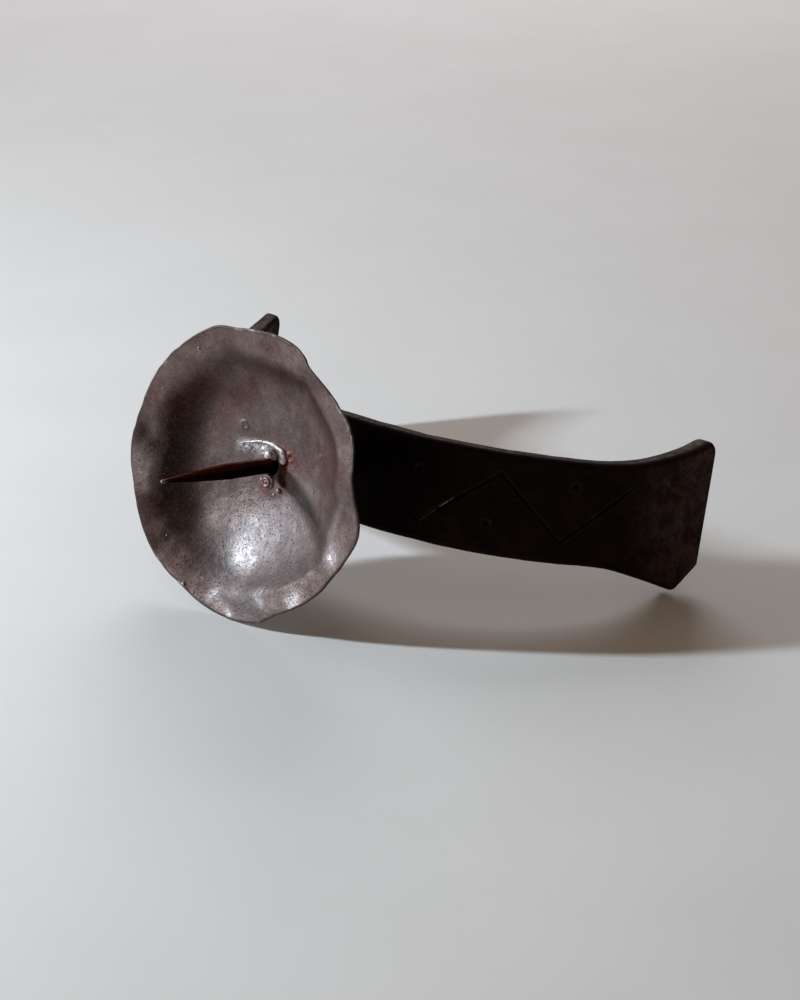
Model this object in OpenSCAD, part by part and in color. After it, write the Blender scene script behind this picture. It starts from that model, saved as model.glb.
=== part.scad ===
// Forged candle holder, lying on its side.
// A flat bar is bent into an arch with two spread feet and carries a square pricket on a stem.
// A hammered drip pan sits on the stem's shoulder and is tacked to the spike.
// Pieces are shaped standing up, with +Z along the pricket and Z = 0 under the feet, and then laid down.

/* [Arch] */
// Width of the flat bar
bar_w = 30; // [24:1:36]
// Thickness of the flat bar
bar_t = 6; // [4:0.5:8]
// Radius on the long edges of the flat bar
bar_edge_r = 1.8; // [0.6:0.1:1.9]
// Height of the arch, from under the feet to the top of its crown
arch_h = 63; // [50:1:80]
// Distance between the middles of the two feet
foot_span = 169; // [140:1:200]
// Width of each spread foot
foot_w = 46; // [38:0.5:50]
// Length over which the bar spreads into a foot
foot_flare = 36; // [25:1:50]
// Radius on the corners of each foot
foot_corner_r = 3.5; // [2:0.5:8]
// Lean of the legs away from upright, at the feet
foot_lean = 14; // [0:1:25]
// Reach of the bend beside the crown
crown_bend = 26; // [15:1:45]
// Reach of the bend above the feet
leg_bend = 48; // [30:1:55]

/* [Drip pan] */
// Mean radius of the pan's rim
pan_r = 41.5; // [38:0.5:50]
// Depth of the pan, from the rim to the flat seat
pan_depth = 13; // [9:0.5:16]
// Thickness of the sheet
pan_t = 1.6; // [1.2:0.1:2.5]
// Thickness of the hammered rim
rim_t = 1.1; // [0.8:0.1:1.6]
// Radius of the crease between the bowl and the flange
crease_r = 33; // [28:1:35]
// Height of the flange, from the crease to the rim
flange_rise = 2.4; // [1:0.2:4]
// Radius of the flat seat at the middle of the pan
seat_r = 8; // [7.5:0.5:12]
// Share of the rim's waves that reaches the crease
crease_wave = 0.45; // [0:0.05:0.8]

/* [Pricket] */
// Width of the square spike
spike_w = 4.2; // [3:0.1:5]
// Length of the spike above the pan's seat
spike_l = 42; // [32:1:60]
// Length over which the spike is drawn out to its point
point_l = 24; // [12:1:28]
// Width of the blunt tip
tip_w = 1; // [0.6:0.1:1.6]
// How far the spike stands off the pan's middle, along the span of the feet
spike_x = -1.6; // [-3:0.1:3]
// Turn of the square bar about its own axis
bar_turn = 13; // [0:1:45]
// Length of the stem between the arch and the pan
stem_l = 21; // [10:1:35]
// Width of the square stem
stem_w = 10; // [8:0.5:10.5]
// Chamfer along the stem's corners
stem_chamfer = 1.2; // [0.4:0.1:2]
// Diameter of the round tenon that passes the arch
tenon_d = 6; // [5:0.5:7]
// Clearance of the tenon in its hole, and of the spike's corners in theirs
hole_clear = 0.1; // [0.05:0.05:0.4]
// Diameter of the head peened over under the arch
peen_d = 10; // [9:0.5:12]
// Height of the peened head
peen_h = 2.5; // [1.5:0.1:4]

/* [Weld tacks] */
// Diameter of each weld tack between the spike and the pan
tack_d = 4.4; // [3.6:0.1:5]
// Height of each tack
tack_h = 2.2; // [1.4:0.1:3]
// How far each tack laps the side of the spike
tack_lap = 0.4; // [0.2:0.1:0.8]

/* [Hidden] */

STRAP_BLACK = [0.12, 0.1, 0.1];
PAN_BROWN = [0.36, 0.31, 0.31];
TACK_RED = [0.42, 0.26, 0.24];

// Hammered waves of the rim: angle, how far it stands out, how far it stands up
RIM_WAVES = [
    [11, -0.9, 0.5], [29, 0.4, -0.4], [57, -1.4, 0.6], [71, -0.5, -0.5], [100, -1.5, 0.5],
    [115, -0.1, -0.3], [128, -0.5, 0.4], [150, 0.8, -0.4], [162, 0.3, 0.5], [186, 3, -0.6],
    [202, 1.4, 0.4], [218, 2.6, -0.5], [247, -0.6, 0.6], [270, -0.2, -0.2], [285, -0.4, 0.3],
    [302, -1.7, 0.7], [328, -0.7, -0.4], [352, 1.9, -0.7]];

// How far shapes of one piece run into each other
EMBED = 1;
// Flat on the crown, as long as the stem's foot is across its corners
crown_flat = stem_w * sqrt(2);
// Levels along the upright axis
crown_z = arch_h;
crown_under_z = arch_h - bar_t;
pan_under_z = arch_h + stem_l;
seat_z = pan_under_z + pan_t;
rim_z = seat_z + pan_depth;
tip_z = seat_z + spike_l;
// Round holes for the tenon and for the spike's corners
tenon_hole_d = tenon_d + 2 * hole_clear;
spike_hole_d = spike_w * sqrt(2) + 2 * hole_clear;

function unit(v) = v / norm(v);
function mix(a, b, k) = a + (b - a) * k;
function ramp(k) = min(1, max(0, k));
function smooth(k) = ramp(k) * ramp(k) * (3 - 2 * ramp(k));
function turned(p, a) = [p[0] * cos(a) - p[1] * sin(a), p[0] * sin(a) + p[1] * cos(a)];
function running_sum(v, i = 0, s = 0) =
    i == len(v) ? [s] : concat([s], running_sum(v, i + 1, s + v[i]));

// Points on a cubic curve, and its direction
function bezier(p, t) =
    pow(1 - t, 3) * p[0] + 3 * pow(1 - t, 2) * t * p[1] + 3 * (1 - t) * t * t * p[2] + t * t * t * p[3];
function bezier_dir(p, t) =
    unit(pow(1 - t, 2) * (p[1] - p[0]) + 2 * (1 - t) * t * (p[2] - p[1]) + t * t * (p[3] - p[2]));

// Middle line of one leg in the XZ plane, from the edge of the crown's flat to the foot
leg_curve = [
    [crown_flat / 2, crown_z - bar_t / 2],
    [crown_flat / 2 + crown_bend, crown_z - bar_t / 2],
    [foot_span / 2 - leg_bend * sin(foot_lean), leg_bend * cos(foot_lean)],
    [foot_span / 2, 0]];
// Length along the leg against the curve's own parameter
TABLE_STEPS = 60;
leg_table_t = [for (i = [0:TABLE_STEPS]) i / TABLE_STEPS];
leg_table_p = [for (t = leg_table_t) bezier(leg_curve, t)];
leg_table_s = running_sum([for (i = [1:TABLE_STEPS]) norm(leg_table_p[i] - leg_table_p[i - 1])]);
leg_l = leg_table_s[TABLE_STEPS];
leg_by_length = [for (i = [0:TABLE_STEPS]) [leg_table_s[i], leg_table_t[i]]];

// Half width of the bar at a length along the leg, before its corners are rounded
function spread(s) = mix(bar_w / 2, foot_w / 2, pow(ramp((s - leg_l + foot_flare) / foot_flare), 2));
// Sections of a leg: length along it and half width
LEG_STEPS = 30;
CORNER_STEPS = 6;
leg_sections = concat(
    [for (i = [0:LEG_STEPS - 1]) let (s = (leg_l - foot_corner_r) * i / LEG_STEPS) [s, spread(s)]],
    [for (i = [0:CORNER_STEPS])
        let (a = 90 * i / CORNER_STEPS, s = leg_l - foot_corner_r * (1 - sin(a)))
        [s, spread(s) - foot_corner_r * (1 - cos(a))]]);

// Rounded outline of the bar's section: across its thickness and along its width
EDGE_STEPS = 3;
function bar_outline(half_t, half_w) = [
    for (q = [0:3], i = [0:EDGE_STEPS])
        let (a = 90 * (q + i / EDGE_STEPS), sx = q == 0 || q == 3 ? 1 : -1, sy = q < 2 ? 1 : -1)
        [sx * (half_t - bar_edge_r) + bar_edge_r * cos(a),
            sy * (half_w - bar_edge_r) + bar_edge_r * sin(a)]];

// Length above the ground over which the sections turn level, so that the foot ends flat
LEVEL_L = 16;
// Ring of points round one section, on the leg at the +X side or the -X side
function leg_ring(section, side) =
    let (
        t = lookup(section[0], leg_by_length),
        at = bezier(leg_curve, t),
        dir = bezier_dir(leg_curve, t),
        square_out = [-dir[1], dir[0]],
        out = unit(mix(square_out, [1, 0], smooth((section[0] - leg_l + LEVEL_L) / LEVEL_L))),
        stretch = 1 / (out * square_out))
    [for (p = bar_outline(bar_t / 2, section[1]))
        [side * (at[0] + out[0] * stretch * p[0]), p[1], at[1] + out[1] * stretch * p[0]]];

arch_rings = concat(
    [for (i = [len(leg_sections) - 1:-1:0]) leg_ring(leg_sections[i], -1)],
    [for (s = leg_sections) leg_ring(s, 1)]);

// Wave of the rim at an angle, from column 1 or 2 of its list
function wave_row(a, i = 0) = i == len(RIM_WAVES) || RIM_WAVES[i][0] > a ? i : wave_row(a, i + 1);
function wave(a, column) =
    let (
        n = len(RIM_WAVES),
        i = wave_row(a),
        low = RIM_WAVES[(i + n - 1) % n],
        high = RIM_WAVES[i % n],
        low_a = i == 0 ? low[0] - 360 : low[0],
        high_a = i == n ? high[0] + 360 : high[0])
    mix(low[column], high[column], smooth((a - low_a) / (high_a - low_a)));

// Rays round the pan, and steps along each one
PAN_SECTORS = 96;
BOWL_STEPS = 7;
FLANGE_STEPS = 4;
// Share of the bowl's rise that grows with the square of the way out
BOWL_CURVE = 2;
// Inner face of the pan along one ray from its middle: radius and height
function pan_ray(a) =
    let (
        stand_out = wave(a, 1),
        stand_up = wave(a, 2),
        fold_r = crease_r + crease_wave * stand_out,
        fold_z = rim_z - flange_rise + crease_wave * stand_up)
    concat(
        [for (i = [0:BOWL_STEPS]) let (k = i / BOWL_STEPS)
            [mix(seat_r, fold_r, k), mix(seat_z, fold_z, (k + BOWL_CURVE * k * k) / (1 + BOWL_CURVE))]],
        [for (i = [1:FLANGE_STEPS]) let (k = i / FLANGE_STEPS)
            [mix(fold_r, pan_r + stand_out, k), mix(fold_z, rim_z + stand_up, k)]]);
// Direction square to the inner face at point i of a ray
function ray_normal(ray, i) =
    i == 0 ? [0, 1] :
    let (d = unit(ray[min(i + 1, len(ray) - 1)] - ray[i - 1])) [-d[1], d[0]];
// Thickness of the sheet at point i of a ray, thinner towards the rim
function sheet_t(i) = mix(pan_t, rim_t, ramp((i - BOWL_STEPS) / FLANGE_STEPS));
// How much is taken off the corners of the sheet's edge
EDGE_SOFT = 0.3;
// Whole section of the sheet along one ray: inner face, softened edge, outer face
function pan_section(a) =
    let (
        ray = pan_ray(a),
        last = len(ray) - 1,
        lean = ray_normal(ray, last),
        along = [lean[1], -lean[0]])
    concat(
        [for (i = [0:last - 1]) ray[i]],
        [ray[last] - along * EDGE_SOFT, ray[last] - lean * EDGE_SOFT, ray[last] - lean * (rim_t - EDGE_SOFT),
            ray[last] - lean * rim_t - along * EDGE_SOFT],
        [for (i = [last - 1:-1:0]) ray[i] - ray_normal(ray, i) * sheet_t(i)]);
pan_sections = [for (j = [0:PAN_SECTORS - 1]) let (a = 360 * j / PAN_SECTORS)
    [for (p = pan_section(a)) [p[0] * cos(a), p[0] * sin(a), p[1]]]];

// Square section with its corners cut, turned as the forged bar is
function chamfered_square(w, chamfer) = [
    for (q = [0:3], k = [-1, 1]) turned([w / 2, k * (w / 2 - chamfer)], 90 * q + bar_turn)];
// Blunt end: its width and its rounding, against the tip's width
TIP_END = 0.7;
TIP_ROUND = 0.33;
// Share of the taper that is left halfway along the point, a little over half as on a forged one
POINT_SWELL = 0.57;
// Spike from its blunt tip down into the stem: height and width
spike_shape = [
    [tip_z, tip_w * TIP_END],
    [tip_z - tip_w * TIP_ROUND, tip_w],
    [tip_z - point_l / 2, mix(tip_w, spike_w, POINT_SWELL)],
    [tip_z - point_l, spike_w],
    [pan_under_z - EMBED, spike_w]];
// Share of the spike's width that is cut from its corners
SPIKE_CORNER = 0.12;
spike_rings = [for (s = spike_shape)
    [for (p = chamfered_square(s[1], SPIKE_CORNER * s[1])) [p[0] + spike_x, p[1], s[0]]]];

// Height over the ground, and place along Y, of a standing point once it is laid down by an angle
function laid_z(p, a) = p[1] * cos(a) + p[2] * sin(a);
function laid_y(p, a) = p[1] * sin(a) - p[2] * cos(a);
function lowest(points, a) = min([for (p = points) laid_z(p, a)]);
pan_points = [for (s = pan_sections) each s];
foot_points = [for (i = [len(arch_rings) - CORNER_STEPS - 1:len(arch_rings) - 1]) each arch_rings[i]];
// Angle at which the rim and both feet touch the ground together
function lay_angle(low, high, steps) =
    let (a = (low + high) / 2)
    steps == 0 ? a :
    lowest(pan_points, a) > lowest(foot_points, a)
        ? lay_angle(low, a, steps - 1)
        : lay_angle(a, high, steps - 1);
LAY_HIGH = 60;
LAY_STEPS = 40;
lay = lay_angle(0, LAY_HIGH, LAY_STEPS);
ground = lowest(foot_points, lay);
// Reach of the laid holder along Y, from the spike's tip to the far edge of the feet
laid_front = min([for (p = spike_rings[0]) laid_y(p, lay)]);
laid_back = max([for (p = foot_points) laid_y(p, lay)]);

// Lays a standing piece down, with the origin under the middle of the whole holder
module laid() {
    translate([0, -(laid_front + laid_back) / 2, -ground]) rotate([90 - lay, 0, 0]) children();
}

// Solid skin over a row of equal rings, closed at both ends
module skin(rings) {
    m = len(rings[0]);
    n = len(rings);
    sides = [for (i = [0:n - 2], k = [0:m - 1])
        [i * m + k, i * m + (k + 1) % m, (i + 1) * m + (k + 1) % m, (i + 1) * m + k]];
    caps = [[for (k = [m - 1:-1:0]) k], [for (k = [0:m - 1]) (n - 1) * m + k]];
    polyhedron(points = [for (r = rings) each r], faces = concat(sides, caps), convexity = 6);
}

// Bent flat bar with two spread feet, drilled for the tenon
module arch_strap() {
    laid() color(STRAP_BLACK) difference() {
        skin(arch_rings);
        translate([0, 0, crown_under_z - EMBED]) cylinder(h = bar_t + 2 * EMBED, d = tenon_hole_d, $fn = 48);
    }
}

// Hammered pan: flat seat, dished bowl and wavy flange
module drip_pan() {
    m = len(pan_sections[0]);
    n = PAN_SECTORS;
    sheet = [for (j = [0:n - 1], i = [0:m - 2])
        [j * m + i, ((j + 1) % n) * m + i, ((j + 1) % n) * m + i + 1, j * m + i + 1]];
    seat = [[for (j = [n - 1:-1:0]) j * m], [for (j = [0:n - 1]) j * m + m - 1]];
    laid() color(PAN_BROWN) difference() {
        polyhedron(points = pan_points, faces = concat(sheet, seat), convexity = 4);
        translate([spike_x, 0, pan_under_z - EMBED])
            cylinder(h = pan_t + 2 * EMBED, d = spike_hole_d, $fn = 48);
    }
}

// Spike, shouldered stem and tenon forged from one bar, peened over under the arch
module pricket() {
    laid() color(STRAP_BLACK) union() {
        skin(spike_rings);
        translate([0, 0, crown_z]) linear_extrude(stem_l) polygon(chamfered_square(stem_w, stem_chamfer));
        translate([0, 0, crown_under_z - EMBED]) cylinder(h = bar_t + 2 * EMBED, d = tenon_d, $fn = 48);
        translate([0, 0, crown_under_z]) peened_head();
    }
}

// Low dome hammered over from the tenon, with its flat at z = 0 and its top below
module peened_head() {
    dome_r = peen_d * peen_d / (8 * peen_h) + peen_h / 2;
    rotate_extrude($fn = 64) intersection() {
        translate([0, dome_r - peen_h]) circle(r = dome_r, $fn = 96);
        translate([0, -peen_h]) square([peen_d / 2, peen_h]);
    }
}

// Weld beads that tack the spike to the pan, one on each side of it
module weld_tacks() {
    laid() color(TACK_RED) difference() {
        for (side = [-1, 1])
            translate([spike_x, side * (spike_w / 2 + tack_d / 2 - tack_lap), seat_z]) bead();
        skin(spike_rings);
    }
}

// Low round bead with a flat foot, fuller at the shoulder than a half ellipse
BEAD_FULLNESS = 0.7;
BEAD_STEP = 15;
module bead() {
    rotate_extrude($fn = 48) polygon(concat(
        [[0, 0]],
        [for (a = [0:BEAD_STEP:90]) [tack_d / 2 * pow(cos(a), BEAD_FULLNESS), tack_h * sin(a)]]));
}

arch_strap();
drip_pan();
pricket();
weld_tacks();
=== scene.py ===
"""Looks of a forged candle holder that lies on its side.

The pieces are shaped standing up, in millimetres, as in the part's source.
Then they are laid down into the frame.
"""

import itertools
import math

import bpy
import numpy as np
from mathutils import Matrix, Vector


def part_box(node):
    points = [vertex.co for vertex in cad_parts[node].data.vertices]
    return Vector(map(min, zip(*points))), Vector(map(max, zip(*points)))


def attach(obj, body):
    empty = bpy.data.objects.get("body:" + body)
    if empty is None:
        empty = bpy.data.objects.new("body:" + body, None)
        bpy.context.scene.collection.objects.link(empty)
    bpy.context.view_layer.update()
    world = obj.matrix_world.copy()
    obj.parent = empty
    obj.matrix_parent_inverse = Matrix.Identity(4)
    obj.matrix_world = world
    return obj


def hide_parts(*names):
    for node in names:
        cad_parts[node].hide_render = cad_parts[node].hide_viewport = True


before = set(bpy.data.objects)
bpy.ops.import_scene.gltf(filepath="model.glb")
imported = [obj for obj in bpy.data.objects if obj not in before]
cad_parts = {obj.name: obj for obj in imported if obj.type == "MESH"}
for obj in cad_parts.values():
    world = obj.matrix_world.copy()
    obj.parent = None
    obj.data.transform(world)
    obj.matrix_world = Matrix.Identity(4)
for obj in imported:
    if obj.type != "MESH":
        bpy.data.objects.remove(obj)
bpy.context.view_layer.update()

# Sizes repeated from the part's source, in millimetres and degrees
BAR_W = 30
BAR_T = 6
BAR_EDGE_R = 1.8
ARCH_H = 63
FOOT_SPAN = 169
FOOT_W = 46
FOOT_FLARE = 36
FOOT_CORNER_R = 3.5
FOOT_LEAN = 14
CROWN_BEND = 26
LEG_BEND = 48
FOOT_LEVEL = 16
PAN_R = 41.5
PAN_DEPTH = 13
PAN_T = 1.6
CREASE_R = 33
FLANGE_RISE = 2.4
SEAT_R = 8
CREASE_WAVE = 0.45
SPIKE_W = 4.2
SPIKE_L = 42
POINT_L = 24
TIP_W = 1
SPIKE_X = -1.6
BAR_TURN = 13
STEM_L = 21
STEM_W = 10
TENON_D = 6
PEEN_D = 10
PEEN_H = 2.5
TACK_D = 4.4
TACK_H = 2.2
TACK_LAP = 0.4
TACK_OUT = SPIKE_W / 2 + TACK_D / 2 - TACK_LAP
# Hammered waves of the rim: angle, how far it stands out, how far it stands up
RIM_WAVES = (
    (11, -0.9, 0.5), (29, 0.4, -0.4), (57, -1.4, 0.6), (71, -0.5, -0.5), (100, -1.5, 0.5),
    (115, -0.1, -0.3), (128, -0.5, 0.4), (150, 0.8, -0.4), (162, 0.3, 0.5), (186, 3, -0.6),
    (202, 1.4, 0.4), (218, 2.6, -0.5), (247, -0.6, 0.6), (270, -0.2, -0.2), (285, -0.4, 0.3),
    (302, -1.7, 0.7), (328, -0.7, -0.4), (352, 1.9, -0.7))
# How standing shapes are laid down: angle from level, and where the point under the arch goes
LAY = math.radians(11.6256)
LAID_AT = (0, 60.538, 20.986)
MM = 0.001

CROWN_UNDER_Z = ARCH_H - BAR_T
PAN_UNDER_Z = ARCH_H + STEM_L
SEAT_Z = PAN_UNDER_Z + PAN_T
RIM_Z = SEAT_Z + PAN_DEPTH
TIP_Z = SEAT_Z + SPIKE_L

# How far the weld drew the spike upwards, at its root and at its tip
ROOT_UP = 1.0
TIP_UP = 0.6

NOISE_CELLS = 24


def standing_frame():
    """Matrix from the standing shapes, in millimetres, to the frame, in metres."""
    lay_down = Matrix.Rotation(math.pi / 2 - LAY, 4, "X")
    return Matrix.Scale(MM, 4) @ Matrix.Translation(LAID_AT) @ lay_down


def smooth_step(k):
    """0 up to k = 0, 1 from k = 1, and a soft rise between them."""
    k = np.clip(k, 0, 1)
    return k * k * (3 - 2 * k)


def bell(distance, width):
    """1 at no distance, falling off over about width."""
    return np.exp(-(distance / width) ** 2)


def soft_min(a, b, soft):
    """The lower of two values, rounded where they come within soft of each other."""
    near = np.maximum(soft - np.abs(a - b), 0) / soft
    return np.minimum(a, b) - near * near * soft / 4


def soft_noise(points, cell, seed):
    """Smooth noise from -1 to 1 at an array of points, changing over about cell millimetres."""
    table = np.random.RandomState(seed).uniform(-1, 1, (NOISE_CELLS,) * 3)
    place = points / cell
    low = np.floor(place).astype(int)
    near = place - low
    near = near * near * (3 - 2 * near)
    total = np.zeros(points.shape[:-1])
    for corner in itertools.product((0, 1), repeat=3):
        step = np.array(corner)
        weight = np.prod(np.where(step == 1, near, 1 - near), axis=-1)
        at = (low + step) % NOISE_CELLS
        total += weight * table[at[..., 0], at[..., 1], at[..., 2]]
    return total


def facets(points, centres, face_r):
    """Height of hammered facets: each dent is a shallow bowl of radius face_r round its centre."""
    nearest = np.full(points.shape[:-1], 1e9)
    for centre in centres:
        nearest = np.minimum(nearest, np.sum((points - centre) ** 2, axis=-1))
    return nearest / (2 * face_r)


def away_from(points, place):
    """Distance of points from a place in a plane."""
    return np.hypot(points[..., 0] - place[0], points[..., 1] - place[1])


def away_from_path(points, path):
    """Distance of points from a path of straight strokes in a plane."""
    nearest = np.full(points.shape[:-1], 1e9)
    for start, end in zip(np.array(path[:-1], float), np.array(path[1:], float)):
        stroke = end - start
        k = np.clip(((points[..., :2] - start) @ stroke) / (stroke @ stroke), 0, 1)
        off = points[..., :2] - start - k[..., None] * stroke
        nearest = np.minimum(nearest, np.linalg.norm(off, axis=-1))
    return nearest


def spots_added(points, spots):
    """Soft spots added up, from rows of place, how wide and how much."""
    return sum(amount * bell(away_from(points, (x, y)), size) for x, y, size, amount in spots)


def raised_by_spots(mark, points, spots):
    """A mark, raised wherever a soft spot is stronger than it."""
    for x, y, size, amount in spots:
        mark = np.maximum(mark, amount * bell(away_from(points, (x, y)), size))
    return mark


def grid_normals(points):
    """Unit normals of a grid of points whose rows are closed rings."""
    across = np.roll(points, -1, 1) - np.roll(points, 1, 1)
    normal = np.cross(across, np.gradient(points, axis=0))
    return normal / np.maximum(np.linalg.norm(normal, axis=-1, keepdims=True), 1e-9)


def ring_angles(columns):
    return np.arange(columns) * 2 * math.pi / columns


def tube_faces(rows, columns, close_rows=False, start=0, flip=False):
    """Quads over a grid of rows of points, each row a closed ring."""
    faces = []
    for i in range(rows if close_rows else rows - 1):
        above = (i + 1) % rows
        for k in range(columns):
            right = (k + 1) % columns
            quad = [i * columns + k, i * columns + right, above * columns + right, above * columns + k]
            faces.append([start + v for v in (quad[::-1] if flip else quad)])
    return faces


def closed_tube_faces(rows, columns, start=0, flip=False):
    """Quads over a grid of closed rings, and a flat face over each end."""
    first = [start + k for k in range(columns)]
    last = [start + (rows - 1) * columns + k for k in range(columns)]
    ends = [first, last[::-1]] if flip else [first[::-1], last]
    return tube_faces(rows, columns, start=start, flip=flip) + ends


def add_object(name, data):
    thing = bpy.data.objects.new(name, data)
    bpy.context.scene.collection.objects.link(thing)
    return thing


def make_piece(name, points, faces, node, material, marks, slack=0.0):
    """A smooth mesh from standing points, laid down, kept in the box of the node that it replaces."""
    points = np.asarray(points, float).reshape(-1, 3)
    matrix = np.array(standing_frame())
    placed = points @ matrix[:3, :3].T + matrix[:3, 3]
    if node:
        low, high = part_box(node)
        placed = np.clip(placed, np.array(low) - slack * MM, np.array(high) + slack * MM)
    mesh = bpy.data.meshes.new(name)
    mesh.from_pydata(placed.tolist(), [], faces)
    mesh.update()
    mesh.polygons.foreach_set("use_smooth", [True] * len(mesh.polygons))
    for mark, values in marks.items():
        layer = mesh.attributes.new(mark, "FLOAT", "POINT")
        layer.data.foreach_set("value", np.clip(np.asarray(values, float).ravel(), 0, 1))
    mesh.materials.append(material)
    piece = add_object(name, mesh)
    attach(piece, "root")
    if node:
        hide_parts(node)
    return piece


# Pan

PAN_COLUMNS = 600
SEAT_ROWS = 22
BOWL_ROWS = 70
FLANGE_ROWS = 30
EDGE_ROWS = 6
HOLE_GAP = 0.1
HOLE_R = SPIKE_W * math.sqrt(0.5) + HOLE_GAP
# Rim: its least thickness, how much thicker it gets, where the sheet starts to thin, and its nicks
EDGE_T = 0.6
EDGE_T_MORE = 0.3
THIN_FROM = 1.75
NICK_DEPTH = 0.35
# Rings of hammer dents: radius and spacing, and the radius of the hammer's face
DENT_RINGS = ((13, 8), (20, 9), (27.5, 9.5), (34.5, 9), (40, 8))
DENT_FACE_R = 70
# Fold between bowl and flange: angle, how far it was drawn outwards, how softly it turns, how far up
FOLD = (
    (1, 0.6, 0.9, 0.3), (8, 0.2, 0.5, 0.4), (20, 1.8, 0.25, 0.6), (30, 2.2, 0.18, 0.6),
    (42, 2.4, 0.2, 0.6), (52, 3.2, 0.16, 0.6), (59, 4.2, 0.14, 0.6), (66, 1.8, 0.18, 0.5),
    (73, 0.8, 0.22, 0.3), (82, 0.1, 0.3, 0.2), (94, 0.5, 0.45, 0.1), (106, 1.6, 0.9, 0),
    (118, 0.8, 1.1, 0), (133, 0.3, 1.1, 0), (148, 0.7, 0.9, 0.1), (160, 1.7, 0.8, 0.3),
    (172, 1.2, 0.8, 0.5), (182, 0.6, 1.0, 0.6), (206, 2.9, 1.6, 0.8), (215, 3.2, 2.0, 0.9),
    (236, 1.9, 2.4, 0.9), (255, 0.9, 2.2, 0.9), (274, 0.7, 1.6, 0.9), (288, -0.3, 0.8, 1.0),
    (302, 0.7, 0.4, 1.0), (320, 1.2, 0.3, 0.8), (330, 2.4, 0.5, 0.5), (338, 0.4, 0.9, 0.3),
    (345, -1.2, 1.2, 0.2), (353, -1.4, 1.2, 0.2))
# Flats that a hammer left: place, how wide, slope across and along the span, how flat
FLATS = (
    (-2.8, -24.7, 6.2, 0.0, -0.41, 0.75), (-7, -37, 2.6, 0.0, -0.42, 0.5),
    (-2, -38.2, 2.2, 0.0, -0.44, 0.45), (1.4, -40.2, 1.4, 0.01, -0.45, 0.5),
    (11.5, -33, 2.8, 0.02, -0.43, 0.35), (23.6, -30.6, 2.6, 0.036, -0.43, 0.5),
    (34.4, -14.2, 3.0, 0.05, -0.4, 0.5), (-18, -37, 5, -0.1, -0.06, 0.7),
    (6, -38, 4, 0.0, -0.12, 0.6), (18, -35.5, 4, 0.08, -0.12, 0.6))
# Path on which the left wall is hammered deeper
LEFT_DIP = ((-20, 17), (-24.5, 8), (-25.5, 0), (-25, -9), (-21, -18))
LEFT_DIP_DEPTH = 1.5
# Small marks on the pan, seen from the rim's side
PIT_CLUSTERS = ((-13.6, 18.6, 3.2), (-25.7, 7.2, 2.6), (-20.7, -3.5, 1.6), (-6, 24, 2.4))
PIT_DEPTH = 0.32
RING_MARK = (-11.3, 10.3)
RING_MARK_R = 1.1
RING_MARK_H = 0.3
RED_PIT = (5.3, 4.9)
RED_PIT_DEPTH = 0.5
RED_PIT_LIP = 0.14
# Groove right of the spike's root, with painted shade along it
GROOVE = ((3.7, 3.4), (3.5, 1.6), (2.9, -1.2), (3.9, -3.0))
GROOVE_DEPTH = 0.9
SCRAPED = ((-4.5, 4.6), (-8, 4.9), (-12, 4.3))
SCRAPED_W = 1.8
# Soot and painted shade on the wall inside the fold: angle, amount, how far it reaches inwards and
# outwards
SOOT_AND_SHADE = (
    (5, 0.6, 7, 2.5), (25, 0.78, 6.5, 1.6), (45, 0.78, 4.5, 1.4), (60, 0.83, 4, 1.3),
    (75, 0.83, 5, 1.5), (95, 0.68, 4.5, 2), (110, 0.6, 4.5, 3), (125, 0.65, 5, 4),
    (142, 0.8, 7, 5), (160, 0.97, 9, 4.5), (180, 1, 9.5, 6), (195, 1, 10, 6),
    (207, 1, 10, 12), (222, 0.97, 9, 13), (238, 0.82, 7, 11), (252, 0.55, 5, 9),
    (275, 0.3, 3, 6), (295, 0.15, 3, 5), (330, 0.2, 3, 3))
SOOT_AND_SHADE_IN = 2.5
# Spots of soot and olive smoke (both partly painted shade), of grey painted shade, of rubbed metal (partly
# painted highlights) and of rust: place, how wide, how much
SOOT_AND_SHADE_SPOTS = (
    (-40.5, 2, 5.2, 0.97), (-36.5, -1, 4.8, 0.95), (-34, -20, 5, 0.9), (-31, -28, 6, 0.9),
    (-18, -38, 5, 0.5), (-24, 34, 3, 0.4), (3, -36, 4, 0.3), (18, -38, 3, 0.3),
    (30, -26, 3, 0.3), (-30, -15, 4.5, 0.92), (-27, -26, 6, 0.95), (-21, 10, 5, 0.5),
    (-11.5, 29.5, 4, 0.55), (20, 32, 6, 0.4), (41.5, -9, 3.2, 0.5), (26, 10, 5, 0.35))
SMOKE_AND_SHADE_SPOTS = (
    (-39, -9, 7, 0.7), (-36, 8, 7, 0.35), (-32, -24, 9, 0.9), (-33, 21, 5, 0.2), (-12, 39, 7, 0.2))
GREY_SHADE_SPOTS = ((-3, -21, 12, 0.9), (10, -12, 9, 0.5), (20, -22, 10, 0.4), (8, -35, 8, 0.7))
RUBBED_HIGHLIGHT_SPOTS = (
    (7, -25, 15, 0.12), (-2.2, -24.2, 6.3, 0.8), (-0.5, -17, 5, 0.4), (-5.5, -36.7, 2.6, 0.8),
    (1.1, -39.8, 1.7, 1.0), (11.5, -32.3, 3, 0.5), (24, -29.7, 2.8, 0.8), (34.4, -14.2, 3, 0.8),
    (13, -4, 6, 0.45), (3, 13, 7, 0.3), (-8, 11, 6, 0.3), (-13, 2, 4.5, 0.35))
RUST_SPOTS = (
    (10, 2, 5, 0.35), (-16, 14, 6, 0.5), (-34, -20, 8, 0.25), (-20, -34, 8, 0.2), (27, 6, 7, 0.3))
# Ridge of the fold rubbed pale: a painted highlight along it
RUBBED_HIGHLIGHT_RIDGE = ((36.5, 4.0), (33.8, -2.5), (31.2, -9.5), (33.6, -14.0))
RUSTY_PATH = ((4.6, 3.2), (3.9, -1.0), (4.6, -4.6), (2.6, -5.8))


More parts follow.
